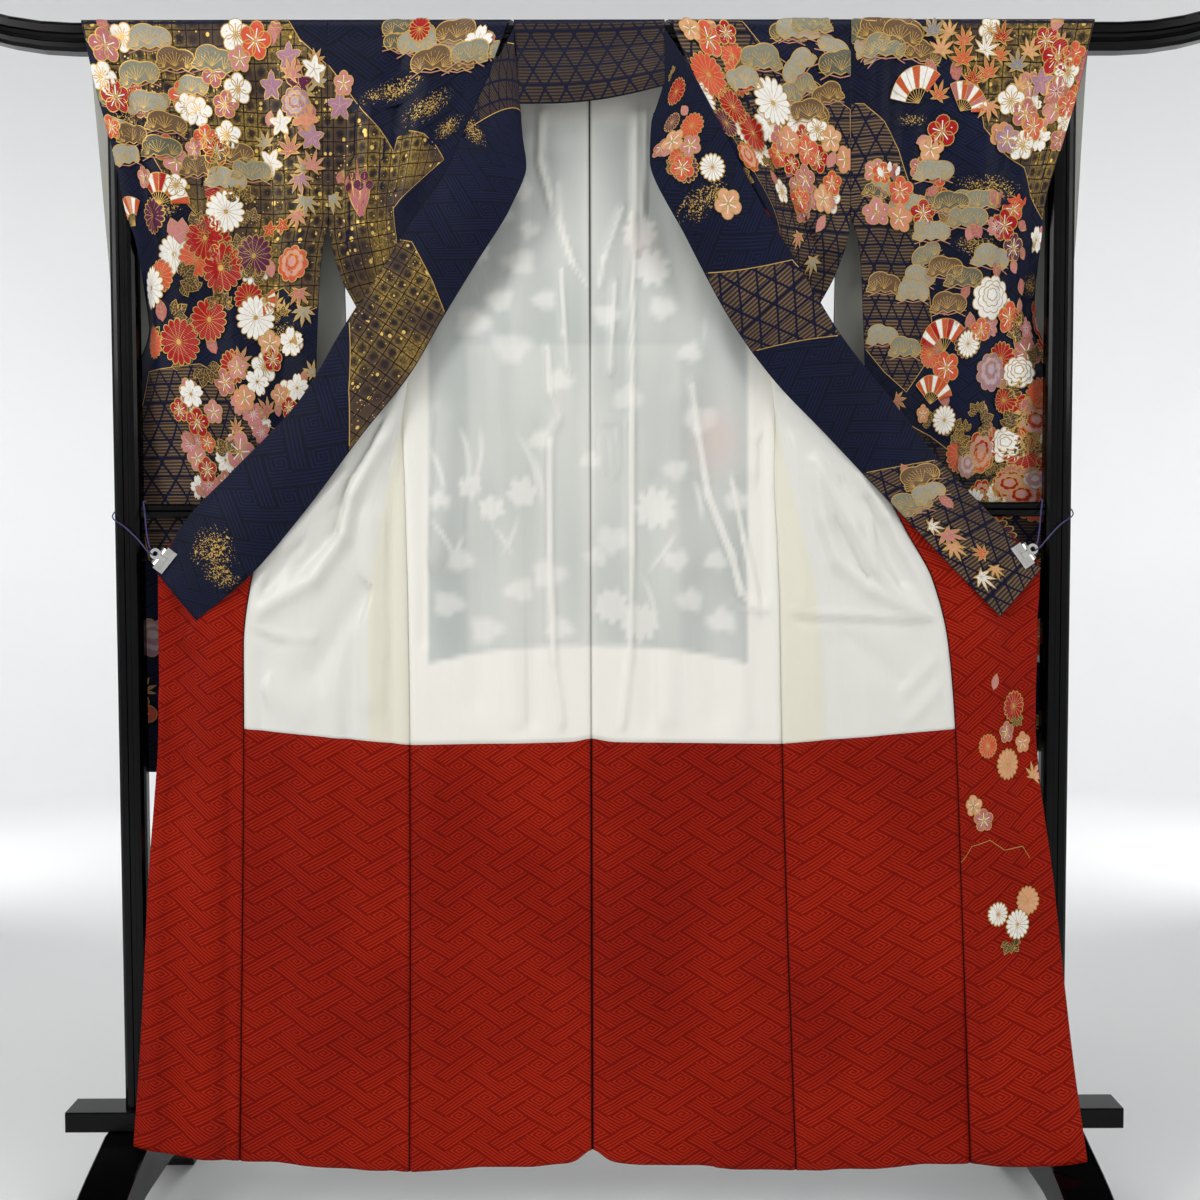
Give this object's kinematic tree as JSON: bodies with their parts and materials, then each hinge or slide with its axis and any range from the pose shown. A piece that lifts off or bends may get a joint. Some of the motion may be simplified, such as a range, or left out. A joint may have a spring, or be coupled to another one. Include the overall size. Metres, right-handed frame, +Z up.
{
  "type": "furisode kimono on a kimono stand",
  "caption": "Long-sleeved formal silk kimono hung open, lining to the front, over the top rail of a lacquered stand with arched feet.",
  "frame": {"origin": "on the floor, under the middle of the whole object", "axes": "+Z up, -Y towards the viewer of the open front, +X to the right as seen from the front"},
  "size_m": [1.66, 0.456, 1.6609],
  "materials": {
    "lacquer": "black urushi-style gloss lacquer over wood",
    "printed_silk": "dyed silk crepe, navy ground with a many-coloured traditional pattern and gold",
    "white_silk": "plain white silk lining, soft sheen",
    "red_silk": "red silk damask lining with a woven fret",
    "nickel": "bright polished nickel plate",
    "string": "thin twisted violet cord"
  },
  "bodies": {
    "root": {"rail": "lacquer", "post_L": "lacquer", "post_R": "lacquer", "crossbar": "lacquer", "base_beam": "lacquer", "foot_L": "lacquer", "foot_R": "lacquer", "back_L": "printed_silk", "front_L": "printed_silk", "overlap_L": "printed_silk", "sleeve_front_L": "printed_silk", "sleeve_back_L": "printed_silk", "collar_L": "printed_silk", "back_lining_L": "white_silk", "front_lining_L": "white_silk", "sleeve_front_lining_L": "white_silk", "sleeve_back_lining_L": "white_silk", "back_hem_lining_L": "red_silk", "front_hem_lining_L": "red_silk", "overlap_lining_L": "red_silk", "clip_front_L": "nickel", "clip_back_L": "nickel", "clip_spring_L": "nickel", "clip_ring_L": "nickel", "string_L": "string", "back_R": "printed_silk", "front_R": "printed_silk", "overlap_R": "printed_silk", "sleeve_front_R": "printed_silk", "sleeve_back_R": "printed_silk", "collar_R": "printed_silk", "back_lining_R": "white_silk", "front_lining_R": "white_silk", "sleeve_front_lining_R": "white_silk", "sleeve_back_lining_R": "white_silk", "back_hem_lining_R": "red_silk", "front_hem_lining_R": "red_silk", "overlap_lining_R": "red_silk", "clip_front_R": "nickel", "clip_back_R": "nickel", "clip_spring_R": "nickel", "clip_ring_R": "nickel", "string_R": "string", "collar_neck": "printed_silk"}
  },
  "joints": []
}
